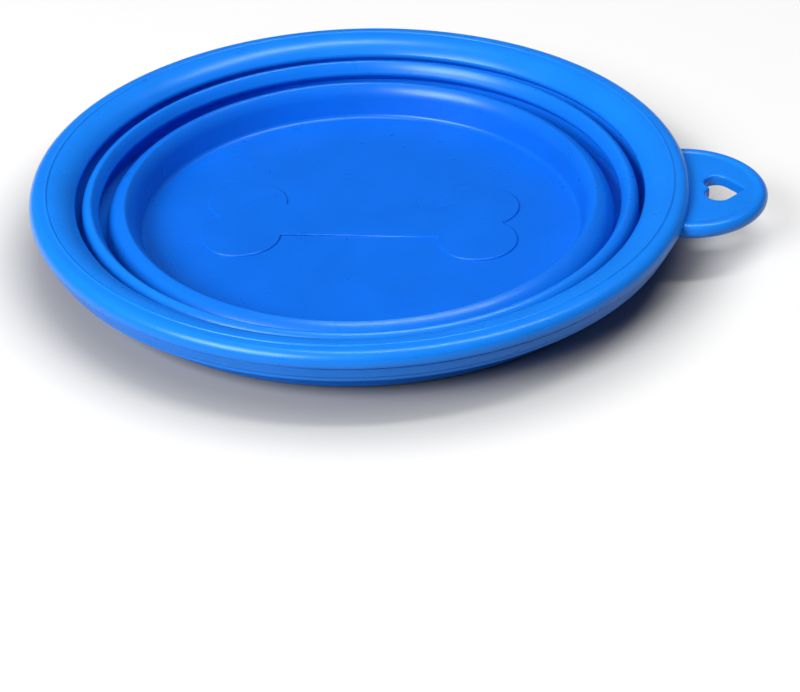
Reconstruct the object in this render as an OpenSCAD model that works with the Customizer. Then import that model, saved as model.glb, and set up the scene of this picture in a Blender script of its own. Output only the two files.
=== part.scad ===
// Collapsible silicone bowl, folded flat.
// The bowl is one moulding of stiff tiers that nest inside each other. Thin webs join the tiers and turn
// inside out when the bowl is pulled open, so each tier is a piece of its own here and slides along Z.
// Millimetres, +Z up. The origin is on the bowl's axis at the underside of the base, the hang tab is on +X.

/* [Rim] */
// Outer diameter over the lip
rim_d = 130; // [115:1:160]
// Height of the lip's crest above the table
rim_h = 13.3; // [12.5:0.1:16]
// Width of the lip outside the parting line
lip_w = 3.3; // [2.6:0.1:4.5]
// Height of the lip, from its crest to the crease below it
lip_h = 3.1; // [2.8:0.05:3.8]
// Radius of the lip's lower edge
lip_round = 0.9; // [0.6:0.05:1.1]
// Fall of the lip's underside, from its rounded edge to the crease
lip_fall = 0.4; // [0.2:0.05:0.6]
// Height of the band below the crease
band_h = 3.95; // [3.6:0.05:4.4]
// How far the band lies inside the lip's outer edge
band_inset = 0.8; // [0.6:0.05:1.2]
// Radius of the band's edges
band_round = 0.5; // [0.3:0.05:0.7]
// Height of the stepped foot of the band
band_foot_h = 1.4; // [0.8:0.05:1.6]
// How far the stepped foot lies inside the band
band_step_w = 1.3; // [0.6:0.05:1.5]
// Width of the slope from the crest in towards the first groove
slope_w = 5.6; // [4.8:0.1:6.4]
// Drop of that slope
slope_h = 2.85; // [2:0.05:3.5]
// Radius of the shoulder where the slope turns down into the groove
shoulder_r = 0.6; // [0.4:0.1:1]
// Width of the flat land that carries the parting ridge
land_w = 0.4; // [0.35:0.05:0.6]
// Width of the parting ridge
ridge_w = 0.3; // [0.2:0.02:0.34]
// Height of the parting ridge
ridge_h = 0.15; // [0.1:0.01:0.3]

/* [Folds] */
// Wall of the rim tier at its fold
rim_wall_t = 1.1; // [0.9:0.05:1.6]
// Wall of the middle tier at its crest
middle_wall_t = 1.6; // [1.2:0.05:2]
// Wall of the middle tier at its fold
middle_fold_t = 1; // [0.8:0.05:1.4]
// Wall of the base tier at its crest
base_wall_t = 2.8; // [2:0.05:3.2]
// Wall of the base tier at the floor
base_foot_t = 1.6; // [1.2:0.05:2]
// Thickness of the webs that turn inside out
web_t = 0.85; // [0.6:0.05:1.1]
// Slit between the two leaves of a fold
fold_slit = 0.25; // [0.15:0.05:0.5]
// Clearance between neighbouring tiers as they slide past each other
tier_gap = 0.35; // [0.3:0.05:0.6]
// Clearance between a web's upper edge and the crest that it reaches
web_gap = 0.12; // [0.08:0.01:0.3]
// Height of the folds above the table
fold_lift = 0.5; // [0.3:0.05:1]
// Height of the outer crest above the table
outer_crest_h = 11; // [9.5:0.1:11.5]
// Height of the outer crest's rounded head
outer_crest_drop = 2.2; // [1.2:0.1:2.8]
// Height of the inner crest above the table
inner_crest_h = 8.8; // [7.5:0.1:9.5]
// Height of the inner crest's rounded head
inner_crest_drop = 3.2; // [2:0.1:3.6]
// How far the top of a crest lies inside its middle
crest_shift = 0.4; // [0:0.05:0.7]
// Lean of the rim wall, from the mouth of the groove to the fold
rim_lean = 0.15; // [0:0.05:1]
// Spread of the rim wall's outside, from the fold up to the band
rim_flare = 1; // [0.5:0.1:1.5]
// Lean of the middle wall, from crest to fold
middle_lean = 1.35; // [0.9:0.05:2]
// Lean of the base wall, from crest to floor
base_lean = 1.1; // [0.6:0.05:2]

/* [Base] */
// Thickness of the floor
floor_t = 1.8; // [1.4:0.1:2.5]
// Fillet between the floor and the base wall
floor_fillet = 1.1; // [0.6:0.1:2]
// Rounding of the base's lower edge
base_round = 0.8; // [0.4:0.1:1.2]
// Height of the raised emblem on the floor
emblem_h = 0.35; // [0.2:0.05:0.6]
// Length of the emblem between the centres of its knobs
emblem_l = 47; // [36:1:56]
// Distance between the two knobs at one end
emblem_knob_gap = 12.8; // [10:0.2:15]
// Radius of a knob
emblem_knob_r = 8; // [7.6:0.1:9]
// Width of the emblem's shaft
emblem_shaft_w = 12; // [8:0.5:16]

/* [Hang tab] */
// Radius of the tab's outline
tab_r = 16.2; // [14:0.1:18]
// How far the tab's centre lies inside the lip's outer edge
tab_inset = 1; // [0:0.1:2]
// Depth of the tab's middle plane below the lip's crest
tab_drop = 3.75; // [3.3:0.05:4.5]
// Thickness of the tab's plate
tab_plate_t = 2.4; // [1.6:0.1:2.6]
// Radius of the bead along the tab's edge
tab_bead_r = 1.55; // [1.4:0.05:1.8]
// Length of the flexing neck outside the lip
neck_l = 1.7; // [1.4:0.1:1.9]
// Clearance between the neck and the rest of the tab
neck_gap = 0.1; // [0.05:0.01:0.2]
// Radius of the lobes of the heart-shaped hole
heart_lobe_r = 2.5; // [2.2:0.1:2.7]
// Distance between the centres of the lobes
heart_lobe_gap = 4.3; // [3.4:0.1:5]
// Land of the plate between the neck and the heart's lobes
heart_land = 0.9; // [0.4:0.05:1]
// Distance from the heart's tip to the tab's outer edge
heart_tip_gap = 4.7; // [3.9:0.1:4.8]

/* [Hidden] */
$fn = 160;
silicone = "dodgerblue";
// Points along each rounded stretch of an outline
arc_steps = 8;
// Angle through which the lip's lower edge turns before it runs to the crease
lip_turn = 50;
// Angle through which the band's edges turn
band_turn = 60;
// Overrun of cuts
over = 1;

// Each fold is as wide as its two leaves and the slit between them
function fold_half(wall_t) = (wall_t + fold_slit + web_t) / 2;
outer_valley_r = fold_half(rim_wall_t);
outer_crest_r = fold_half(middle_wall_t);
inner_valley_r = fold_half(middle_fold_t);
inner_crest_r = fold_half(base_wall_t);

// The rim's inner slope is an arc that starts level, and the shoulder carries on from it
slope_turn = 2 * atan2(slope_h, slope_w);
slope_r = slope_w / sin(slope_turn);

// Radii, from the lip inwards
lip_x = rim_d / 2;
seam_x = lip_x - lip_w;
mouth_x = seam_x - land_w / 2 - slope_w - shoulder_r * (1 - sin(slope_turn));
band_x = lip_x - band_inset;
outer_valley_x = mouth_x - rim_lean + rim_wall_t - outer_valley_r;
outer_crest_x = outer_valley_x - outer_valley_r - tier_gap - outer_crest_r;
inner_valley_x = outer_crest_x - outer_crest_r - middle_lean + middle_fold_t - inner_valley_r;
inner_crest_x = inner_valley_x - inner_valley_r - tier_gap - inner_crest_r;
foot_x = inner_crest_x - inner_crest_r - base_lean;
base_x = foot_x + base_foot_t;

// Heights
mouth_z = rim_h - slope_h - shoulder_r * cos(slope_turn);
crease_z = rim_h - lip_h;
lip_wide_z = crease_z + lip_fall + lip_round * sin(lip_turn);
band_z = crease_z - band_h;
band_bend = band_round * sin(band_turn);
outer_valley_z = fold_lift + outer_valley_r;
inner_valley_z = fold_lift + inner_valley_r;
outer_crest_z = outer_crest_h - outer_crest_drop;
inner_crest_z = inner_crest_h - inner_crest_drop;

// The fillet at the floor is tangent to the floor and to the leaning wall
base_tilt = atan2(base_lean, inner_crest_z - floor_t);
floor_x = foot_x - floor_fillet * tan((90 - base_tilt) / 2);

// Hang tab, in its own plane with its centre at zero
tab_x = lip_x - tab_inset;
tab_z = rim_h - tab_drop;
bead_x = tab_r - tab_bead_r;
plate_x = bead_x - sqrt(pow(tab_bead_r, 2) - pow(tab_plate_t / 2, 2));
neck_x = tab_inset + neck_l;
heart_tip_x = tab_r - heart_tip_gap;
heart_lobe_x = neck_x + neck_gap + heart_land + heart_lobe_r;
heart_lobe_y = heart_lobe_gap / 2;
heart_taper = heart_tip_x - heart_lobe_x;
heart_side = acos(heart_lobe_r / norm([heart_taper, heart_lobe_y])) - atan2(heart_lobe_y, heart_taper);

// Points of an elliptic arc about a centre, from one angle to another
function arc(centre, radii, from, to) = [
    for (i = [0 : arc_steps])
        let (a = from + (to - from) * i / arc_steps)
        [centre.x + radii.x * cos(a), centre.y + radii.y * sin(a)]
];

// Outline of the lip, from its crest out and down to the crease
function lip_edge() = concat(
    arc([seam_x + land_w / 2, lip_wide_z], [lip_w - land_w / 2, rim_h - lip_wide_z], 90, 0),
    arc([lip_x - lip_round, lip_wide_z], [lip_round, lip_round], 0, -lip_turn)
);

// Outline of the band, from the crease down to its underside
function band_edge() = concat(
    arc([band_x - band_round, crease_z - band_bend], [band_round, band_round], band_turn, 0),
    arc([band_x - band_round, band_z + band_foot_h + band_bend], [band_round, band_round], 0, -band_turn),
    [[band_x - band_step_w, band_z + band_foot_h]],
    arc([band_x - band_step_w - band_round, band_z + band_round], [band_round, band_round], 0, -90)
);

// The crease, where the lip's underside meets the band
crease_x = band_edge()[0].x;

module ring(points) {
    color(silicone)
        rotate_extrude()
            polygon(points);
}

// Rounded head of a tier, whose top lies a little inside its middle
module crest(middle_x, bottom_z, half_w, drop) {
    peak = [middle_x - crest_shift, bottom_z];
    ring(concat(
        arc(peak, [half_w + crest_shift, drop], 0, 90),
        arc(peak, [half_w - crest_shift, drop], 90, 180)
    ));
}

// Base tier

module floor_panel() {
    color(silicone)
        cylinder(h = floor_t, r = floor_x);
}

module floor_emblem() {
    color(silicone)
        translate([0, 0, floor_t])
            linear_extrude(emblem_h) {
                square([emblem_l, emblem_shaft_w], center = true);
                for (x = [-1, 1], y = [-1, 1])
                    translate([x * emblem_l / 2, y * emblem_knob_gap / 2])
                        circle(emblem_knob_r);
            }
}

module base_wall() {
    ring(concat(
        [[floor_x, 0]],
        arc([base_x - base_round, base_round], [base_round, base_round], -90, 0),
        [[inner_crest_x - inner_crest_r + base_wall_t, inner_crest_z]],
        [[inner_crest_x - inner_crest_r, inner_crest_z]],
        arc([floor_x, floor_t + floor_fillet], [floor_fillet, floor_fillet], -base_tilt, -90)
    ));
}

module inner_crest() {
    crest(inner_crest_x, inner_crest_z, inner_crest_r, inner_crest_drop);
}

// Middle tier, and the web between it and the base

module web(valley_x, valley_z, crest_x, crest_z) {
    ring([
        [valley_x, valley_z],
        [valley_x + web_t, valley_z],
        [crest_x, crest_z - web_gap],
        [crest_x - web_t, crest_z - web_gap]
    ]);
}

module inner_web() {
    web(inner_valley_x - inner_valley_r, inner_valley_z, inner_crest_x + inner_crest_r, inner_crest_z);
}

module inner_valley() {
    ring(arc([inner_valley_x, inner_valley_z], [inner_valley_r, inner_valley_r], 180, 360));
}

module middle_wall() {
    ring([
        [inner_valley_x + inner_valley_r - middle_fold_t, inner_valley_z],
        [inner_valley_x + inner_valley_r, inner_valley_z],
        [outer_crest_x - outer_crest_r + middle_wall_t, outer_crest_z],
        [outer_crest_x - outer_crest_r, outer_crest_z]
    ]);
}

module outer_crest() {
    crest(outer_crest_x, outer_crest_z, outer_crest_r, outer_crest_drop);
}

// Rim tier, and the web between it and the middle tier

module outer_web() {
    web(outer_valley_x - outer_valley_r, outer_valley_z, outer_crest_x + outer_crest_r, outer_crest_z);
}

module outer_valley() {
    ring(arc([outer_valley_x, outer_valley_z], [outer_valley_r, outer_valley_r], 180, 360));
}

module rim_wall() {
    outside_x = outer_valley_x + outer_valley_r;
    ring(concat(
        [[seam_x, rim_h]],
        arc([seam_x - land_w / 2, rim_h - slope_r], [slope_r, slope_r], 90, 90 + slope_turn),
        arc([mouth_x + shoulder_r, mouth_z], [shoulder_r, shoulder_r], 90 + slope_turn, 180),
        [[outside_x - rim_wall_t, outer_valley_z]],
        [[outside_x, outer_valley_z]],
        [[outside_x + rim_flare, band_z]],
        [[seam_x, band_z]]
    ));
}

module rim_band() {
    ring(concat([[seam_x, crease_z]], band_edge(), [[seam_x, band_z]]));
}

module rim_lip() {
    ring(concat([[seam_x, rim_h]], lip_edge(), [[crease_x, crease_z]], [[seam_x, crease_z]]));
}

module parting_ridge() {
    ring([
        [seam_x - ridge_w / 2, rim_h],
        [seam_x + ridge_w / 2, rim_h],
        [seam_x, rim_h + ridge_h]
    ]);
}

// Hang tab: a round plate with a beaded edge, whose neck flexes just outside the lip

module tab_place() {
    translate([tab_x, 0, tab_z])
        children();
}

// Everything outside the neck
module beyond_neck() {
    side = 2 * (tab_r + over);
    translate([neck_x + neck_gap, -side / 2, -side / 2])
        cube(side);
}

// Everything on the bowl's side of the neck's end
module before_neck() {
    side = 2 * (tab_r + over);
    translate([neck_x - side, -side / 2, -side / 2])
        cube(side);
}

module heart() {
    side_x = heart_lobe_x + heart_lobe_r * cos(heart_side);
    side_y = heart_lobe_y + heart_lobe_r * sin(heart_side);
    for (y = [-1, 1])
        translate([heart_lobe_x, y * heart_lobe_y])
            circle(heart_lobe_r);
    polygon([
        [heart_tip_x, 0],
        [side_x, side_y],
        [heart_lobe_x, heart_lobe_y],
        [heart_lobe_x, -heart_lobe_y],
        [side_x, -side_y]
    ]);
}

// Solid of the whole rim inside its outer surface, which the neck meets
module rim_core() {
    rotate_extrude()
        polygon(concat([[0, rim_h]], lip_edge(), [[crease_x, crease_z]], band_edge(), [[0, band_z]]));
}

module tab_neck() {
    color(silicone)
        difference() {
            tab_place()
                intersection() {
                    rotate_extrude() {
                        translate([bead_x, 0])
                            circle(tab_bead_r);
                        translate([0, -tab_plate_t / 2])
                            square([bead_x, tab_plate_t]);
                    }
                    before_neck();
                }
            rim_core();
        }
}

module tab_plate() {
    color(silicone)
        tab_place()
            difference() {
                intersection() {
                    cylinder(h = tab_plate_t, r = plate_x, center = true);
                    beyond_neck();
                }
                linear_extrude(tab_plate_t + 2 * over, center = true)
                    heart();
            }
}

module tab_border() {
    color(silicone)
        tab_place()
            intersection() {
                rotate_extrude()
                    intersection() {
                        translate([bead_x, 0])
                            circle(tab_bead_r);
                        translate([plate_x, -tab_r])
                            square(2 * tab_r);
                    }
                beyond_neck();
            }
}

floor_panel();
floor_emblem();
base_wall();
inner_crest();
inner_web();
inner_valley();
middle_wall();
outer_crest();
outer_web();
outer_valley();
rim_wall();
rim_band();
rim_lip();
parting_ridge();
tab_neck();
tab_plate();
tab_border();
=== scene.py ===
# Looks of the collapsible silicone bowl, shown folded flat. Metres, +Z up, the hang tab on +X.
import math

import bmesh
import bpy
import numpy as np
from mathutils import Matrix, Quaternion, Vector


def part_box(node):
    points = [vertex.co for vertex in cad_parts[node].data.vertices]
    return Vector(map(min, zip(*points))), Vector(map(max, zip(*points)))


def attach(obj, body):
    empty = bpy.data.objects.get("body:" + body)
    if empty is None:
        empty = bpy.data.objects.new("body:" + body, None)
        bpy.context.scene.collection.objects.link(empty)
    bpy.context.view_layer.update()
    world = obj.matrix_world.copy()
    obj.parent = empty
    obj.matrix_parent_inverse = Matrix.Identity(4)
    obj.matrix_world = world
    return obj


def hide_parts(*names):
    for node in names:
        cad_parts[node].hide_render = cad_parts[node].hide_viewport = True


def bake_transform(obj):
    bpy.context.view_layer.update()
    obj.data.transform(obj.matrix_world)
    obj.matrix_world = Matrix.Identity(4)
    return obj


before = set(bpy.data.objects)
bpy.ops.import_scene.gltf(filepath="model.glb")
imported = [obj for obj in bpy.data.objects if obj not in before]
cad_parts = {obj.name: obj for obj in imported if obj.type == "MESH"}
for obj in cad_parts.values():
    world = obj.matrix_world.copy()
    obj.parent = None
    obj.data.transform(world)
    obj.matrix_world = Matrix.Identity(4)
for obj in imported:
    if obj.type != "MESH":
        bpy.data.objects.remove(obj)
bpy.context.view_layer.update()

MM = 0.001

# Fineness of the meshes
TURN_STEPS = 256
CIRCLE = [
    (math.cos(math.tau * i / TURN_STEPS), math.sin(math.tau * i / TURN_STEPS))
    for i in range(TURN_STEPS)
]
ARC_STEP = 4.0  # degrees
WEB_STEPS = 36
FLOOR_STEPS = 8
LONG_WALL_STEPS = 6
WALL_STEPS = 4
KNEE_STEPS = 3
END_SHARE = 0.02
SHARP_TURN = math.radians(32)
TINY = 1e-7


def ring_box(node):
    """Outer radius, lowest and highest point of a ring-shaped CAD node."""
    low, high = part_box(node)
    return high.x, low.z, high.z


# Sizes that come from the CAD frame
lip_r, crease_z, rim_z = ring_box("rim_lip")
band_r, band_z = ring_box("rim_band")[:2]
seam_r = ring_box("rim_wall")[0]
outer_valley_out, outer_valley_low, outer_valley_z = ring_box("outer_valley")
outer_crest_out, _, outer_peak_z = ring_box("outer_crest")
inner_valley_out, inner_valley_low, inner_valley_z = ring_box("inner_valley")
inner_crest_out, _, inner_peak_z = ring_box("inner_crest")
floor_r, floor_low, floor_z = ring_box("floor_panel")
bone_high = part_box("floor_emblem")[1]
tab_low, tab_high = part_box("tab_border")
plate_low, plate_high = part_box("tab_plate")
outer_valley_r = outer_valley_z - outer_valley_low
inner_valley_r = inner_valley_z - inner_valley_low
tab_level = (tab_low.z + tab_high.z) / 2

# Rim. Here and below angles are in degrees, and a tilt is measured from level.
LAND_HALF = 0.2 * MM
SLOPE_R = 6.4 * MM
SLOPE_TURN = 53.0
SHOULDER_R = 1.0 * MM
SHOULDER_TILT = 70.0
UNDERCUT_TILT = 138.0
UNDERCUT_R = 0.9 * MM
RIM_UNDERCUT = 1.4 * MM
LIP_FLAT = 1.2 * MM
LIP_EDGE_Z = 10.95 * MM
LIP_EDGE_R = 0.9 * MM
LIP_EDGE_TURN = 62.0
CREASE_DEPTH = 0.7 * MM
BAND_ROUND = 0.5 * MM
BAND_BREAK = 72.0
BAND_GAP = 0.15 * MM
BAND_FOOT_H = 1.4 * MM
BAND_TAPER = 0.5 * MM
BAND_STEP_W = 1.3 * MM
RIM_UNDER_R = 0.8 * MM
RIM_FLARE = 1.0 * MM
RIDGE_HALF = 0.34 * MM
RIDGE_UP = 0.2 * MM
RIDGE_DEPTH = 0.2 * MM

# Folds. An edge is its radius and how far it turns.
SLIT = 0.12 * MM
WEB_T = 0.85 * MM
CORE_GAP = 0.3 * MM
BACK_TURN = 16.0
BACK_EDGE_R = 0.5 * MM
OUTER_SWELL = 0.85 * MM
INNER_SWELL = 1.75 * MM
OUTER_PEAK_IN = 0.85 * MM
OUTER_PEAK_DROP = 0.6 * MM
OUTER_CREST_FALL = 2.3 * MM
INNER_PEAK_IN = 1.9 * MM
INNER_PEAK_DROP = 0.2 * MM
INNER_CREST_FALL = 3.0 * MM
OUTER_EDGE = (0.6 * MM, 47.0)
INNER_EDGE = (0.6 * MM, 40.0)
OUTER_SHOULDER_R = 5.0 * MM
INNER_SHOULDER_R = 5.0 * MM
FOLD_START = 0.55 * MM
MIDDLE_WALL_OUT = 0.35 * MM
MIDDLE_TILT = 64.0
MIDDLE_DROP = 0.6 * MM
MIDDLE_UNDERCUT = 2.1 * MM
MIDDLE_KNEE = 3.4 * MM
MIDDLE_KNEE_T = 0.45 * MM
BASE_WALL_OUT = 1.0 * MM

# Base
FLOOR_FILLET = 1.1 * MM
BASE_R = 45.285 * MM
BASE_ROUND = 0.8 * MM

# Emblem
BONE_KNOB_R = 8.0 * MM
BONE_SHAFT_HALF = 6.0 * MM
BONE_ROUND = 0.3 * MM
BONE_SINK = 0.3 * MM
BONE_KNOB_STEPS = 60
BONE_ROUND_STEPS = 5

# Hang tab
TAB_ROOT_R = 59.5 * MM
TAB_CORNER_R = 3.2 * MM
TAB_FILLET_R = 1.5 * MM
HEART_LOBE = Vector((6.2 * MM, 2.15 * MM))
HEART_LOBE_R = 2.5 * MM
HEART_TIP_X = 11.5 * MM
HEART_TIP_ROUND = 0.5 * MM
HEART_NOTCH_ROUND = 0.6 * MM
HEART_EDGE_R = 0.5 * MM
HEART_HUB_PAST = 0.9 * MM
TAB_BEND_START = 65.1 * MM
TAB_BEND_END = 66.9 * MM
TAB_END_STEPS = 300
TAB_CORNER_STEPS = 60
TAB_ROOT_STEPS = 120
TAB_BEAD_STEPS = 14
TAB_FILLET_STEPS = 6
TAB_MID_STEPS = 26
HEART_TIP_STEPS = 8
HEART_SIDE_STEPS = 14
HEART_LOBE_STEPS = 52
HEART_NOTCH_STEPS = 7
HEART_EDGE_STEPS = 6


def arc(centre, radii, first, last):
    """Points along an elliptic arc, with a short step at both ends that keeps the shading true."""
    steps = max(3, round(abs(last - first) / ARC_STEP))
    shares = [0.0, END_SHARE / steps]
    shares += [i / steps for i in range(1, steps)]
    shares += [1 - END_SHARE / steps, 1.0]
    turns = [math.radians(first + (last - first) * share) for share in shares]
    return [(centre[0] + radii[0] * math.cos(t), centre[1] + radii[1] * math.sin(t)) for t in turns]


def bow(centre, radius, first, last):
    """Points along a circular arc."""
    return arc(centre, (radius, radius), first, last)


def line(first, last, steps=1):
    """Points along a straight stretch."""
    shares = [0.0, END_SHARE] + [i / steps for i in range(1, steps)] + [1 - END_SHARE, 1.0]
    return [(first[0] + (last[0] - first[0]) * s, first[1] + (last[1] - first[1]) * s) for s in shares]


def fallen(start, length, tilt):
    """End of a straight stretch down an inner wall of that tilt."""
    turn = math.radians(tilt)
    return start[0] - length * math.cos(turn), start[1] - length * math.sin(turn)


def undercut(start, tilt, length):
    """Turn from an inner wall of that tilt into a straight undercut."""
    lean = math.radians(tilt)
    centre = (start[0] + UNDERCUT_R * math.sin(lean), start[1] - UNDERCUT_R * math.cos(lean))
    points = bow(centre, UNDERCUT_R, 90 + tilt, 90 + UNDERCUT_TILT)
    return points + line(points[-1], fallen(points[-1], length, UNDERCUT_TILT), WALL_STEPS)


def chain(*stretches):
    """One closed outline from stretches that follow each other."""
    points = []
    for stretch in stretches:
        for point in stretch:
            if not points or math.dist(points[-1], point) > TINY:
                points.append(point)
    if math.dist(points[0], points[-1]) < TINY:
        points.pop()
    return points


def finish_mesh(name, bm):
    """Object of a closed mesh with its faces turned outwards and smooth."""
    bmesh.ops.recalc_face_normals(bm, faces=bm.faces)
    for face in bm.faces:
        face.smooth = True
    mesh = bpy.data.meshes.new(name)
    bm.to_mesh(mesh)
    bm.free()
    piece = bpy.data.objects.new(name, mesh)
    bpy.context.scene.collection.objects.link(piece)
    piece.data.materials.append(silicone)
    return piece


def revolve(name, outline):
    """Closed ring, or disc, from an outline of (radius, height) points turned about Z."""
    bm = bmesh.new()
    rings = []
    for radius, height in outline:
        if radius < TINY:
            rings.append([bm.verts.new((0, 0, height))])
        else:
            rings.append([bm.verts.new((radius * c, radius * s, height)) for c, s in CIRCLE])
    count = len(rings)
    for i, ring in enumerate(rings):
        after = rings[(i + 1) % count]
        if len(ring) == 1 and len(after) == 1:
            continue
        for k in range(TURN_STEPS):
            n = (k + 1) % TURN_STEPS
            if len(ring) == 1:
                bm.faces.new((ring[0], after[k], after[n]))
            elif len(after) == 1:
                bm.faces.new((ring[k], ring[n], after[0]))
            else:
                bm.faces.new((ring[k], ring[n], after[n], after[k]))
    for i, ring in enumerate(rings):
        if len(ring) == 1:
            continue
        before = Vector(outline[i]) - Vector(outline[i - 1])
        behind = Vector(outline[(i + 1) % count]) - Vector(outline[i])
        if abs(before.angle_signed(behind)) > SHARP_TURN:
            for k in range(TURN_STEPS):
                bm.edges.get((ring[k], ring[(k + 1) % TURN_STEPS])).smooth = False
    return finish_mesh(name, bm)


def place(piece, body, *nodes):
    """The piece rides on a body and stands for CAD nodes."""
    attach(piece, body)
    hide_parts(*nodes)


def bend(piece, bodies, start, end, *nodes):
    """The piece keeps its place, baked into its mesh, and stands for CAD nodes."""
    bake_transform(piece)
    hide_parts(*nodes)


NOISE_LOW = 0.3
NOISE_HIGH = 0.7


def noise_node(nodes, links, coords, name, scale, detail):
    """Noise texture in object space."""
    noise = nodes.new("ShaderNodeTexNoise")
    noise.name = name
    noise.inputs["Scale"].default_value = scale
    noise.inputs["Detail"].default_value = detail
    links.new(coords.outputs["Object"], noise.inputs["Vector"])
    return noise


def ranged(nodes, links, source, low, high):
    """A noise value brought to the range from low to high."""
    scale = nodes.new("ShaderNodeMapRange")
    scale.inputs["From Min"].default_value = NOISE_LOW
    scale.inputs["From Max"].default_value = NOISE_HIGH
    scale.inputs["To Min"].default_value = low
    scale.inputs["To Max"].default_value = high
    links.new(source.outputs["Fac"], scale.inputs["Value"])
    return scale


def linear(channel):
    """Linear value of an sRGB channel from 0 to 1."""
    return channel / 12.92 if channel <= 0.04045 else ((channel + 0.055) / 1.055) ** 2.4


# Silicone: painted light and shade, the colour darker on the floor and lighter from there out to the rim,
# standing in for the floor getting less light than the rim
SHADED_FLOOR_SRGB = (8, 103, 219)
LIT_RIM_SRGB = (18, 125, 235)
FLOOR_SHADE_R = 43 * MM
RIM_LIGHT_R = 58 * MM
SHEEN_TINT = (0.65, 0.93, 1.0)
SILICONE_IOR = 1.45
CLOUD = (70.0, 3.0)  # scale and detail of a noise
CLOUD_SPAN = (0.95, 1.05)
GLOSS = (260.0, 4.0)
ROUGHNESS_SPAN = (0.27, 0.33)
GRAIN = (650.0, 0.0)
GRAIN_STRENGTH = 0.03
GRAIN_DEPTH = 0.1 * MM


def silicone_material():
    """Satin moulded silicone: painted shade that darkens the colour from the rim in to the floor, faint
    clouding in the pigment, uneven gloss, a fine moulded grain.
    """
    material = bpy.data.materials.new("silicone")
    material.use_nodes = True
    nodes, links = material.node_tree.nodes, material.node_tree.links
    shader = nodes["Principled BSDF"]
    shader.inputs["IOR"].default_value = SILICONE_IOR
    shader.inputs["Specular Tint"].default_value = (*SHEEN_TINT, 1)
    coords = nodes.new("ShaderNodeTexCoord")
    parts = nodes.new("ShaderNodeSeparateXYZ")
    flat = nodes.new("ShaderNodeCombineXYZ")
    reach = nodes.new("ShaderNodeVectorMath")
    reach.operation = "LENGTH"
    links.new(coords.outputs["Object"], parts.inputs["Vector"])
    links.new(parts.outputs["X"], flat.inputs["X"])
    links.new(parts.outputs["Y"], flat.inputs["Y"])
    links.new(flat.outputs["Vector"], reach.inputs[0])
    # Painted shade: the colour grows lighter from the floor out to the rim, where more light falls.
    painted_light_share = nodes.new("ShaderNodeMapRange")
    painted_light_share.inputs["From Min"].default_value = FLOOR_SHADE_R
    painted_light_share.inputs["From Max"].default_value = RIM_LIGHT_R
    links.new(reach.outputs["Value"], painted_light_share.inputs["Value"])
    body = nodes.new("ShaderNodeMix")
    body.data_type = "RGBA"
    body.inputs["A"].default_value = (*[linear(c / 255) for c in SHADED_FLOOR_SRGB], 1)
    body.inputs["B"].default_value = (*[linear(c / 255) for c in LIT_RIM_SRGB], 1)
    links.new(painted_light_share.outputs["Result"], body.inputs["Factor"])
    cloud = noise_node(nodes, links, coords, "cloud", *CLOUD)
    depth = nodes.new("ShaderNodeHueSaturation")
    shade = ranged(nodes, links, cloud, *CLOUD_SPAN)
    links.new(shade.outputs["Result"], depth.inputs["Value"])
    links.new(body.outputs["Result"], depth.inputs["Color"])
    links.new(depth.outputs["Color"], shader.inputs["Base Color"])
    patch = noise_node(nodes, links, coords, "gloss", *GLOSS)
    gloss = ranged(nodes, links, patch, *ROUGHNESS_SPAN)
    links.new(gloss.outputs["Result"], shader.inputs["Roughness"])
    grain = noise_node(nodes, links, coords, "grain", *GRAIN)
    bump = nodes.new("ShaderNodeBump")
    bump.inputs["Strength"].default_value = GRAIN_STRENGTH
    bump.inputs["Distance"].default_value = GRAIN_DEPTH
    links.new(grain.outputs["Fac"], bump.inputs["Height"])
    links.new(bump.outputs["Normal"], shader.inputs["Normal"])
    return material


silicone = silicone_material()


# Rim tier
slope_centre = (seam_r - LAND_HALF, rim_z - SLOPE_R)
slope = bow(slope_centre, SLOPE_R, 90, 90 + SLOPE_TURN)
turn_in = math.radians(SLOPE_TURN)
shoulder_centre = (
    slope_centre[0] - (SLOPE_R - SHOULDER_R) * math.sin(turn_in),
    slope_centre[1] + (SLOPE_R - SHOULDER_R) * math.cos(turn_in),
)
shoulder = bow(shoulder_centre, SHOULDER_R, 90 + SLOPE_TURN, 90 + SHOULDER_TILT)
mouth = undercut(shoulder[-1], SHOULDER_TILT, RIM_UNDERCUT)
slit_out = (outer_valley_out - outer_valley_r, outer_valley_z)
rim_foot = (outer_valley_out, outer_valley_z)
under_corner = (outer_valley_out + RIM_FLARE, band_z)
rim_wall = revolve("rim_wall", chain(
    line((seam_r, rim_z), slope[0]),
    slope,
    shoulder,
    mouth,
    line(mouth[-1], slit_out, LONG_WALL_STEPS),
    line(slit_out, rim_foot),
    line(rim_foot, (under_corner[0], band_z - RIM_UNDER_R), WALL_STEPS),
    bow((under_corner[0] + RIM_UNDER_R, band_z - RIM_UNDER_R), RIM_UNDER_R, 180, 90),
    line((under_corner[0] + RIM_UNDER_R, band_z), (seam_r, band_z)),
    line((seam_r, band_z), (seam_r, rim_z)),
))
place(rim_wall, "rim", "rim_wall")

lip_round_r = lip_r - seam_r - LIP_FLAT
lip_top = bow((seam_r + LIP_FLAT, rim_z - lip_round_r), lip_round_r, 90, 0)
lip_edge_centre = (lip_r - LIP_EDGE_R, LIP_EDGE_Z)
crease_r = band_r - CREASE_DEPTH
lip_edge = bow(lip_edge_centre, LIP_EDGE_R, 0, -LIP_EDGE_TURN)
rim_lip = revolve("rim_lip", chain(
    line((seam_r, crease_z), (seam_r, rim_z)),
    line((seam_r, rim_z), lip_top[0]),
    lip_top,
    line(lip_top[-1], lip_edge[0]),
    lip_edge,
    line(lip_edge[-1], (crease_r, crease_z)),
    line((crease_r, crease_z), (seam_r, crease_z)),
))
place(rim_lip, "rim", "rim_lip")

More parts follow.
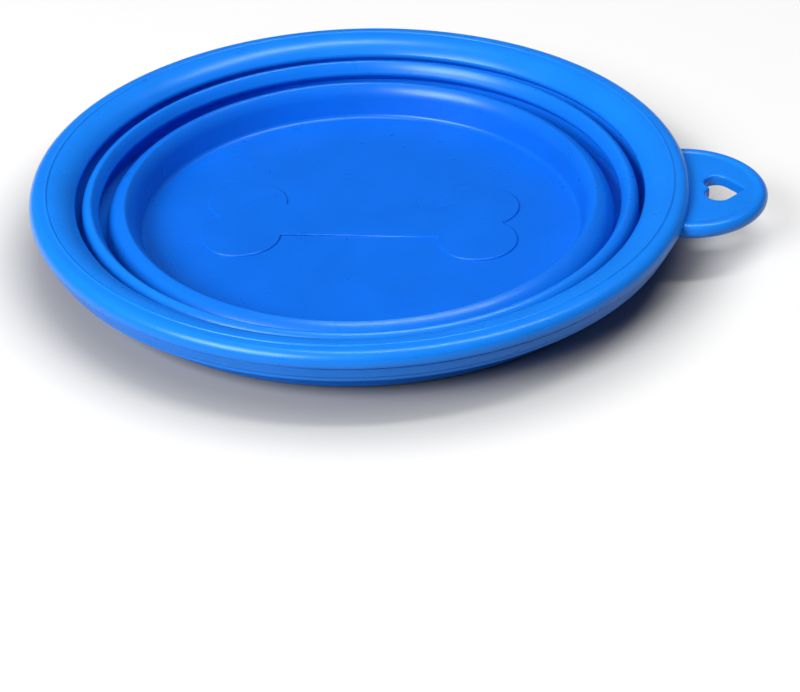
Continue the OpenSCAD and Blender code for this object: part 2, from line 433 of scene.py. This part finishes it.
break_drop = BAND_ROUND * math.sin(math.radians(BAND_BREAK))
band_upper = bow((band_r - BAND_ROUND, crease_z - BAND_GAP - break_drop), BAND_ROUND, BAND_BREAK, 0)
foot_top = band_z + BAND_FOOT_H
band_low_r = band_r - BAND_TAPER - BAND_ROUND
band_lower = bow((band_low_r, foot_top + break_drop), BAND_ROUND, 0, -BAND_BREAK)
foot_r = band_r - BAND_STEP_W
foot_round = bow((foot_r - BAND_ROUND, band_z + BAND_ROUND), BAND_ROUND, 0, -90)
rim_band = revolve("rim_band", chain(
    line((seam_r, band_z), (seam_r, crease_z)),
    line((seam_r, crease_z), (crease_r, crease_z)),
    line((crease_r, crease_z), band_upper[0]),
    band_upper,
    line(band_upper[-1], band_lower[0]),
    band_lower,
    line(band_lower[-1], (foot_r, foot_top)),
    line((foot_r, foot_top), foot_round[0]),
    foot_round,
    line(foot_round[-1], (seam_r, band_z)),
))
place(rim_band, "rim", "rim_band")

ridge_r = (RIDGE_HALF ** 2 + RIDGE_UP ** 2) / (2 * RIDGE_UP)
ridge_turn = math.degrees(math.asin(RIDGE_HALF / ridge_r))
parting_ridge = revolve("parting_ridge", chain(
    line((seam_r - RIDGE_HALF, rim_z - RIDGE_DEPTH), (seam_r + RIDGE_HALF, rim_z - RIDGE_DEPTH)),
    line((seam_r + RIDGE_HALF, rim_z - RIDGE_DEPTH), (seam_r + RIDGE_HALF, rim_z)),
    bow((seam_r, rim_z + RIDGE_UP - ridge_r), ridge_r, 90 - ridge_turn, 90 + ridge_turn),
    line((seam_r - RIDGE_HALF, rim_z), (seam_r - RIDGE_HALF, rim_z - RIDGE_DEPTH)),
))
place(parting_ridge, "rim", "parting_ridge")


def valley_outline(out_r, radius, top):
    """U-shaped fold at the bottom of a groove, with a rounded slit between its legs."""
    middle = out_r - radius
    return chain(
        bow((middle, top), radius, 0, -180),
        line((middle - radius, top), (middle - SLIT, top)),
        bow((middle - SLIT / 2, top), SLIT / 2, -180, 0),
        line((middle, top), (out_r, top)),
    )


def ridge_back(peak, edge_r):
    """Outer side of a ridge from its peak, a small edge and one wide round to upright, and its inside."""
    turn = math.radians(BACK_TURN)
    radius = (edge_r - peak[0] - BACK_EDGE_R * math.sin(turn)) / (1 - math.sin(turn))
    centre = (edge_r - radius, peak[1] - BACK_EDGE_R + (BACK_EDGE_R - radius) * math.cos(turn))
    edge = bow((peak[0], peak[1] - BACK_EDGE_R), BACK_EDGE_R, 90, 90 - BACK_TURN)
    below = math.asin((peak[0] - centre[0]) / (radius - WEB_T))
    inside = bow(centre, radius - WEB_T, 90 - math.degrees(below), 0)
    return edge + bow(centre, radius, 90 - BACK_TURN, 0), inside


def web_outline(peak, edge_r, valley_out, valley_r, valley_top):
    """Thin web from a tier's peak over the outer half of its ridge and down to the valley."""
    foot_out = (valley_out - valley_r - SLIT, valley_top)
    foot_in = (valley_out - 2 * valley_r, valley_top)
    outside, inside = ridge_back(peak, edge_r)
    return chain(
        outside,
        line(outside[-1], foot_out, WEB_STEPS),
        line(foot_out, foot_in),
        line(foot_in, inside[-1], WEB_STEPS),
        inside[::-1],
        line(inside[0], peak),
    )


def ridge_centres(peak, edge, shoulder_r):
    """Centres of a ridge's small round edge and of the wide shoulder that runs on from it."""
    edge_r, edge_turn = edge
    turn = math.radians(edge_turn)
    reach = shoulder_r - edge_r
    edge_z = peak[1] - edge_r
    return (peak[0], edge_z), (peak[0] + reach * math.sin(turn), edge_z - reach * math.cos(turn))


def ridge_face(peak, edge, shoulder_r, tilt):
    """Inner side of a ridge from its peak: a small round edge, then a wide shoulder down to that tilt."""
    edge_r, edge_turn = edge
    edge_centre, wide_centre = ridge_centres(peak, edge, shoulder_r)
    points = bow(edge_centre, edge_r, 90, 90 + edge_turn)
    return points + bow(wide_centre, shoulder_r, 90 + edge_turn, 90 + tilt)


def wall_between(top, top_r, foot, foot_r):
    """Tilt and lower end of the straight wall from a round shoulder to the fillet at its foot."""
    across, up = top[0] - foot[0], top[1] - foot[1]
    tilt = math.atan2(up, across) + math.asin((top_r + foot_r) / math.hypot(across, up))
    return math.degrees(tilt), (foot[0] + foot_r * math.sin(tilt), foot[1] - foot_r * math.cos(tilt))


def crest_outline(peak, face, wall_out, fall):
    """Inner half of a ridge, with the core that fills it under the web."""
    core = (wall_out - peak[0], fall - WEB_T - CORE_GAP)
    centre = (peak[0], peak[1] - fall)
    return chain(
        face,
        line(face[-1], (wall_out, centre[1])),
        arc(centre, core, 0, 90),
        line((peak[0], centre[1] + core[1]), peak),
    )


# Folds between the tiers
outer_valley = revolve("outer_valley", valley_outline(
    outer_valley_out, outer_valley_r, outer_valley_z,
))
place(outer_valley, "rim", "outer_valley")

outer_peak = (outer_crest_out - OUTER_PEAK_IN, outer_peak_z - OUTER_PEAK_DROP)
outer_web = revolve("outer_web", web_outline(
    outer_peak, outer_crest_out + OUTER_SWELL,
    outer_valley_out, outer_valley_r, outer_valley_z,
))
bend(
    outer_web, ("middle", "rim"),
    (0, 0, outer_peak[1] - FOLD_START), (0, 0, outer_valley_z),
    "outer_web",
)

inner_valley = revolve("inner_valley", valley_outline(
    inner_valley_out, inner_valley_r, inner_valley_z,
))
place(inner_valley, "middle", "inner_valley")

inner_peak = (inner_crest_out - INNER_PEAK_IN, inner_peak_z - INNER_PEAK_DROP)
inner_web = revolve("inner_web", web_outline(
    inner_peak, inner_crest_out + INNER_SWELL,
    inner_valley_out, inner_valley_r, inner_valley_z,
))
bend(
    inner_web, ("base", "middle"),
    (0, 0, inner_peak[1] - FOLD_START), (0, 0, inner_valley_z),
    "inner_web",
)

# Middle tier
middle_shoulder = ridge_face(outer_peak, OUTER_EDGE, OUTER_SHOULDER_R, MIDDLE_TILT)
middle_edge = middle_shoulder[-1]
middle_drop = line(middle_edge, fallen(middle_edge, MIDDLE_DROP, MIDDLE_TILT), WALL_STEPS)
middle_face = middle_shoulder + middle_drop + undercut(middle_drop[-1], MIDDLE_TILT, MIDDLE_UNDERCUT)
middle_out = outer_crest_out - MIDDLE_WALL_OUT
outer_crest = revolve("outer_crest", crest_outline(
    outer_peak, middle_face, middle_out, OUTER_CREST_FALL,
))
place(outer_crest, "middle", "outer_crest")

middle_top_out = (middle_out, outer_peak[1] - OUTER_CREST_FALL)
middle_foot = (inner_valley_out - inner_valley_r, inner_valley_z)
middle_foot_out = (inner_valley_out, inner_valley_z)
middle_knee = (middle_face[-1][0], MIDDLE_KNEE)
middle_knee_out = (middle_knee[0] + MIDDLE_KNEE_T, MIDDLE_KNEE)
middle_wall = revolve("middle_wall", chain(
    line(middle_face[-1], middle_knee, KNEE_STEPS),
    line(middle_knee, middle_foot, WALL_STEPS),
    line(middle_foot, middle_foot_out),
    line(middle_foot_out, middle_knee_out, WALL_STEPS),
    line(middle_knee_out, middle_top_out, WALL_STEPS),
    line(middle_top_out, middle_face[-1]),
))
place(middle_wall, "middle", "middle_wall")

# Base tier
fillet_centre = (floor_r, floor_z + FLOOR_FILLET)
inner_shoulder = ridge_centres(inner_peak, INNER_EDGE, INNER_SHOULDER_R)[1]
base_tilt, base_end = wall_between(inner_shoulder, INNER_SHOULDER_R, fillet_centre, FLOOR_FILLET)
base_face = ridge_face(inner_peak, INNER_EDGE, INNER_SHOULDER_R, base_tilt)
base_out = inner_crest_out - BASE_WALL_OUT
inner_crest = revolve("inner_crest", crest_outline(
    inner_peak, base_face, base_out, INNER_CREST_FALL,
))
place(inner_crest, "base", "inner_crest")

base_top_out = (base_out, inner_peak[1] - INNER_CREST_FALL)
base_wall = revolve("base_wall", chain(
    line(base_face[-1], base_end, LONG_WALL_STEPS),
    bow(fillet_centre, FLOOR_FILLET, base_tilt - 90, -90),
    line((floor_r, floor_z), (floor_r, floor_low)),
    line((floor_r, floor_low), (BASE_R - BASE_ROUND, floor_low)),
    bow((BASE_R - BASE_ROUND, floor_low + BASE_ROUND), BASE_ROUND, -90, 0),
    line((BASE_R, floor_low + BASE_ROUND), base_top_out, WALL_STEPS),
    line(base_top_out, base_face[-1]),
))
place(base_wall, "base", "base_wall")

floor_panel = revolve("floor_panel", chain(
    line((0, floor_z), (floor_r, floor_z), FLOOR_STEPS),
    line((floor_r, floor_z), (floor_r, floor_low)),
    line((floor_r, floor_low), (0, floor_low), FLOOR_STEPS),
))
place(floor_panel, "base", "floor_panel")


def bone_edge():
    """Points of the bone's edge with their outward directions, counter-clockwise."""
    knob = (bone_high.x - BONE_KNOB_R, bone_high.y - BONE_KNOB_R)
    notch = math.degrees(math.asin(-knob[1] / BONE_KNOB_R))
    root = 180 - math.degrees(math.asin((BONE_SHAFT_HALF - knob[1]) / BONE_KNOB_R))
    quarter = []
    for i in range(BONE_KNOB_STEPS + 1):
        t = math.radians(notch + (root - notch) * i / BONE_KNOB_STEPS)
        way = Vector((math.cos(t), math.sin(t)))
        quarter.append((Vector(knob) + BONE_KNOB_R * way, way))
    quarter[0] = (quarter[0][0], Vector((1, 0)))
    quarter[-1] = (quarter[-1][0], (quarter[-1][1] + Vector((0, 1))).normalized())
    half = quarter + [
        (Vector((-p.x, p.y)), Vector((-w.x, w.y))) for p, w in reversed(quarter)
    ]
    rest = [(-p, -w) for p, w in half]
    return half[:-1] + rest[:-1]


def make_bone():
    """Raised bone with a rounded edge, standing on the floor."""
    edge = bone_edge()
    levels = [(0.0, floor_z - BONE_SINK), (0.0, bone_high.z - BONE_ROUND)]
    for i in range(1, BONE_ROUND_STEPS + 1):
        t = math.radians(90 * i / BONE_ROUND_STEPS)
        levels.append((BONE_ROUND * (1 - math.cos(t)), bone_high.z - BONE_ROUND * (1 - math.sin(t))))
    bm = bmesh.new()
    loops = []
    for inset, height in levels:
        loops.append([bm.verts.new((*(p - w * inset), height)) for p, w in edge])
    count = len(edge)
    for low, high in zip(loops, loops[1:]):
        for k in range(count):
            n = (k + 1) % count
            bm.faces.new((low[k], low[n], high[n], high[k]))
    for loop in (loops[0], loops[-1]):
        bm.faces.new(loop)
        for k in range(count):
            bm.edges.get((loop[k], loop[(k + 1) % count])).smooth = False
    return finish_mesh("floor_emblem", bm)


place(make_bone(), "base", "floor_emblem")


def sweep_points(centre, radius, first, last, steps, side=1):
    """Points on a circle with directions away from its centre, or towards it where side is -1."""
    points = []
    for i in range(steps):
        t = math.radians(first + (last - first) * i / steps)
        way = Vector((math.cos(t), math.sin(t)))
        points.append((Vector(centre) + radius * way, way * side))
    return points


def angle_of(way):
    """Direction of a vector in degrees."""
    return math.degrees(math.atan2(way.y, way.x))


def mirrored(half):
    """An edge from its half with y above zero."""
    return half + [(Vector((p.x, -p.y)), Vector((w.x, -w.y))) for p, w in reversed(half)]


def tab_edge(centre, radius):
    """Outer edge of the tab with outward directions: a round end and a root inside the rim."""
    to_tab, to_axis = radius - TAB_CORNER_R, TAB_ROOT_R + TAB_CORNER_R
    x = (to_axis ** 2 - to_tab ** 2 + centre.x ** 2) / (2 * centre.x)
    corner = Vector((x, math.sqrt(to_axis ** 2 - x ** 2)))
    out = angle_of(corner - centre)
    root = angle_of(corner)
    half = sweep_points(centre, radius, 0, out, TAB_END_STEPS)
    half += sweep_points(corner, TAB_CORNER_R, out, root + 180, TAB_CORNER_STEPS)
    half += sweep_points((0, 0), TAB_ROOT_R, root, 0, TAB_ROOT_STEPS, -1)
    return mirrored(half)


def heart_edge(centre):
    """Edge of the heart-shaped hole with directions into the plate."""
    lobe = centre + HEART_LOBE
    tip = centre + Vector((HEART_TIP_X, 0))
    side = angle_of(lobe - tip) - math.degrees(math.asin(HEART_LOBE_R / (lobe - tip).length))
    face = side - 90
    inset = HEART_TIP_ROUND / math.cos(math.radians(face))
    tip_centre = tip - Vector((inset, 0))
    notch_gap = HEART_LOBE_R + HEART_NOTCH_ROUND
    notch = lobe - Vector((math.sqrt(notch_gap ** 2 - lobe.y ** 2), lobe.y))
    notch_turn = angle_of(lobe - notch)
    half = sweep_points(tip_centre, HEART_TIP_ROUND, 0, face, HEART_TIP_STEPS)
    side_way = Vector((math.cos(math.radians(face)), math.sin(math.radians(face))))
    first, last = tip_centre + HEART_TIP_ROUND * side_way, lobe + HEART_LOBE_R * side_way
    half += [(first.lerp(last, i / HEART_SIDE_STEPS), side_way) for i in range(HEART_SIDE_STEPS)]
    half += sweep_points(lobe, HEART_LOBE_R, face, notch_turn + 180, HEART_LOBE_STEPS)
    half += sweep_points(notch, HEART_NOTCH_ROUND, notch_turn, 0, HEART_NOTCH_STEPS, -1)
    end = notch + Vector((HEART_NOTCH_ROUND, 0))
    full = mirrored(half)
    full.insert(len(half), (end, Vector((-1, 0))))
    return full[:-1]


def tab_section():
    """Upper half of the tab's section from its outer edge to the hole, and the width of its bead.

    A step is (zone, place, height). The place is a distance from the outer edge or from the hole, and
    on the plate a share of the way between them.
    """
    plate_half = (plate_high.z - plate_low.z) / 2
    bead_r = (tab_high.z - tab_low.z) / 2
    rise = plate_half + TAB_FILLET_R
    run = math.sqrt((bead_r + TAB_FILLET_R) ** 2 - rise ** 2)
    bead_end = math.atan2(rise, -run)
    bead_w = bead_r + run
    steps = []
    for i in range(TAB_BEAD_STEPS + 1):
        t = bead_end * i / TAB_BEAD_STEPS
        steps.append(("edge", bead_r * (1 - math.cos(t)), bead_r * math.sin(t)))
    low = math.atan2(-rise, -run)
    for i in range(1, TAB_FILLET_STEPS + 1):
        t = low + (-math.pi / 2 - low) * i / TAB_FILLET_STEPS
        steps.append(("edge", bead_w + TAB_FILLET_R * math.cos(t), rise + TAB_FILLET_R * math.sin(t)))
    for i in range(1, TAB_MID_STEPS):
        steps.append(("plate", i / TAB_MID_STEPS, plate_half))
    for i in range(HEART_EDGE_STEPS + 1):
        t = math.radians(90 + 90 * i / HEART_EDGE_STEPS)
        height = plate_half - HEART_EDGE_R * (1 - math.sin(t))
        steps.append(("hole", HEART_EDGE_R * (1 + math.cos(t)), height))
    return steps, bead_w


def make_tab():
    """Hang tab in one piece: bead, plate, heart-shaped hole and a root that runs into the rim."""
    radius = tab_high.y
    centre = Vector((tab_high.x - radius, 0))
    hole = heart_edge(centre)
    hub = centre + Vector((HEART_LOBE.x + HEART_HUB_PAST, 0))
    turns = [math.atan2(p.y - hub.y, p.x - hub.x) for p, w in hole]
    edge_points = tab_edge(centre, radius)
    outer = sorted(((math.atan2(p.y, p.x - hub.x), *p, *w) for p, w in edge_points), key=lambda o: o[0])
    known, *edge_tracks = zip(*outer)
    tracks = np.array([np.interp(turns, known, track, period=math.tau) for track in edge_tracks])
    section, bead_w = tab_section()
    bm = bmesh.new()
    columns = []
    for i, (rim_point, inward) in enumerate(hole):
        edge = Vector(tracks[:2, i])
        out = Vector(tracks[2:, i]).normalized()
        plate_first = edge - out * bead_w
        plate_last = rim_point + inward * HEART_EDGE_R
        upper, lower = [], []
        for zone, along, height in section:
            if zone == "edge":
                point = edge - out * along
            elif zone == "plate":
                point = plate_first.lerp(plate_last, along)
            else:
                point = rim_point + inward * along
            upper.append((*point, tab_level + height))
            lower.append((*point, tab_level - height))
        columns.append([bm.verts.new(p) for p in upper + lower[:0:-1]])
    count, rows = len(columns), len(columns[0])
    for i in range(count):
        here, there = columns[i], columns[(i + 1) % count]
        for k in range(rows):
            n = (k + 1) % rows
            bm.faces.new((here[k], there[k], there[n], here[n]))
    return finish_mesh("hang_tab", bm)


bend(
    make_tab(), ("rim", "tab"), (TAB_BEND_START, 0, tab_level), (TAB_BEND_END, 0, tab_level),
    "tab_neck", "tab_plate", "tab_border",
)


# Camera, fitted to the circle of the rim in the photograph. FOCAL and the bowl's place are in its pixels.
FRAME_W = 800
FOCAL = 2330.0
CAMERA_EL = math.radians(29.571)
CAMERA_TURN = math.radians(5.7)
CAMERA_ROLL = math.radians(-2.031)
CAMERA_FAR = 461.19 * MM
CAMERA_NEAR_CLIP = 10 * MM
BOWL_RIGHT = -34.3
BOWL_DOWN = -176.23


def add_camera():
    """Camera at the photograph's viewing angle, with the bowl where the photograph has it."""
    back = Vector((0, -math.cos(CAMERA_EL), math.sin(CAMERA_EL)))
    ahead, right = -back, Vector((1, 0, 0))
    up = right.cross(ahead)
    yaw, pitch = math.atan2(-BOWL_RIGHT, FOCAL), math.atan2(BOWL_DOWN, FOCAL)
    ahead = math.cos(yaw) * ahead + math.sin(yaw) * right
    right = ahead.cross(up).normalized()
    up = right.cross(ahead)
    ahead = math.cos(pitch) * ahead + math.sin(pitch) * up
    up = right.cross(ahead)
    right = math.cos(CAMERA_ROLL) * right + math.sin(CAMERA_ROLL) * up
    up = right.cross(ahead)
    matrix = Matrix((right, up, -ahead)).transposed().to_4x4()
    matrix.translation = back * CAMERA_FAR
    data = bpy.data.cameras.new("camera")
    data.sensor_fit = "HORIZONTAL"
    data.lens = data.sensor_width * FOCAL / FRAME_W
    data.clip_start = CAMERA_NEAR_CLIP
    camera = bpy.data.objects.new("camera", data)
    camera.matrix_world = (
        Matrix.Translation((0, 0, rim_z)) @ Matrix.Rotation(CAMERA_TURN, 4, "Z") @ matrix
    )
    bpy.context.scene.collection.objects.link(camera)
    bpy.context.scene.camera = camera


add_camera()


# Studio: a pale floor and soft lights
FLOOR_HALF = 6.0
FLOOR_TONE = 0.375
FLOOR_ROUGHNESS = 0.9
FLOOR_GLOW = 0.55
# Painted shadow: the floor's glow is gone under the bowl and fades back in between these radii.
PAINTED_SHADOW_INNER_R = 60 * MM
PAINTED_SHADOW_OUTER_R = 82 * MM
SKY_LOW = math.sin(math.radians(-5))
SKY_HIGH = math.sin(math.radians(0))
SKY_DIM = 0.06

# Name, azimuth (0 on the camera's side, 90 to its right), elevation, roll, width, height, watts, and
# whether the light shows in reflections. Window and strip make the highlights, the softbox fills the shade.
LIGHTS = [
    ("window", 314, 38, 0, 0.57, 0.41, 11.4, True),
    ("softbox", 314, 64, 0, 0.6, 0.6, 0.8, False),
    ("strip", 128, 77, 52, 0.65, 0.13, 5.0, True),
]
LIGHT_FAR = 1.0


def add_light(name, azimuth, elevation, roll, width, height, power, reflected):
    """Area light that faces the bowl."""
    data = bpy.data.lights.new(name, "AREA")
    data.shape = "RECTANGLE"
    data.size = width
    data.size_y = height
    data.energy = power
    light = bpy.data.objects.new(name, data)
    az, el = math.radians(azimuth), math.radians(elevation)
    way = Vector((math.sin(az) * math.cos(el), -math.cos(az) * math.cos(el), math.sin(el)))
    way.rotate(Matrix.Rotation(CAMERA_TURN, 3, "Z"))
    light.location = way * LIGHT_FAR
    turn = way.to_track_quat("Z", "Y") @ Quaternion((0, 0, 1), math.radians(roll))
    light.rotation_euler = turn.to_euler()
    light.visible_camera = False
    light.visible_glossy = reflected
    bpy.context.scene.collection.objects.link(light)


def floor_material():
    """Pale floor that looks white away from the bowl and keeps the lamps' shadow, with a painted shadow
    under and around the bowl where its glow fades out.
    """
    material = bpy.data.materials.new("studio_floor")
    material.use_nodes = True
    nodes, links = material.node_tree.nodes, material.node_tree.links
    shader = nodes["Principled BSDF"]
    shader.inputs["Base Color"].default_value = (FLOOR_TONE, FLOOR_TONE, FLOOR_TONE, 1)
    shader.inputs["Roughness"].default_value = FLOOR_ROUGHNESS
    shader.inputs["Specular IOR Level"].default_value = 0.0
    shader.inputs["Emission Color"].default_value = (1, 1, 1, 1)
    path = nodes.new("ShaderNodeLightPath")
    seen = path.outputs["Is Camera Ray"]
    for ray in ("Is Glossy Ray", "Is Transmission Ray"):
        either = nodes.new("ShaderNodeMath")
        either.operation = "MAXIMUM"
        links.new(seen, either.inputs[0])
        links.new(path.outputs[ray], either.inputs[1])
        seen = either.outputs["Value"]
    coords = nodes.new("ShaderNodeTexCoord")
    reach = nodes.new("ShaderNodeVectorMath")
    reach.operation = "LENGTH"
    links.new(coords.outputs["Object"], reach.inputs[0])
    # Painted shadow: no glow under the bowl, fading in around it.
    painted_shadow_fade = nodes.new("ShaderNodeMapRange")
    painted_shadow_fade.interpolation_type = "SMOOTHSTEP"
    painted_shadow_fade.inputs["From Min"].default_value = PAINTED_SHADOW_INNER_R
    painted_shadow_fade.inputs["From Max"].default_value = PAINTED_SHADOW_OUTER_R
    painted_shadow_fade.inputs["To Min"].default_value = 0.0
    painted_shadow_fade.inputs["To Max"].default_value = FLOOR_GLOW
    links.new(reach.outputs["Value"], painted_shadow_fade.inputs["Value"])
    glow = nodes.new("ShaderNodeMath")
    glow.operation = "MULTIPLY"
    links.new(seen, glow.inputs[0])
    links.new(painted_shadow_fade.outputs["Result"], glow.inputs[1])
    links.new(glow.outputs["Value"], shader.inputs["Emission Strength"])
    return material


def add_floor():
    """Plain pale floor under the bowl."""
    mesh = bpy.data.meshes.new("studio_floor")
    corners = [(-1, -1), (1, -1), (1, 1), (-1, 1)]
    points = [(x * FLOOR_HALF, y * FLOOR_HALF, floor_low) for x, y in corners]
    mesh.from_pydata(points, [], [(0, 1, 2, 3)])
    floor = bpy.data.objects.new("studio_floor", mesh)
    mesh.materials.append(floor_material())
    bpy.context.scene.collection.objects.link(floor)


def add_world():
    """Pale along the horizon and dim overhead, so that the lights shape the bowl."""
    world = bpy.data.worlds.new("studio")
    world.use_nodes = True
    nodes, links = world.node_tree.nodes, world.node_tree.links
    coords = nodes.new("ShaderNodeTexCoord")
    parts = nodes.new("ShaderNodeSeparateXYZ")
    links.new(coords.outputs["Generated"], parts.inputs["Vector"])
    fade = nodes.new("ShaderNodeMapRange")
    fade.interpolation_type = "SMOOTHSTEP"
    fade.inputs["From Min"].default_value = SKY_LOW
    fade.inputs["From Max"].default_value = SKY_HIGH
    fade.inputs["To Min"].default_value = 1.0
    fade.inputs["To Max"].default_value = SKY_DIM
    links.new(parts.outputs["Z"], fade.inputs["Value"])
    links.new(fade.outputs["Result"], nodes["Background"].inputs["Strength"])
    nodes["Background"].inputs["Color"].default_value = (1, 1, 1, 1)
    bpy.context.scene.world = world


add_floor()
for light in LIGHTS:
    add_light(*light)
add_world()
bpy.context.scene.view_settings.view_transform = "Standard"
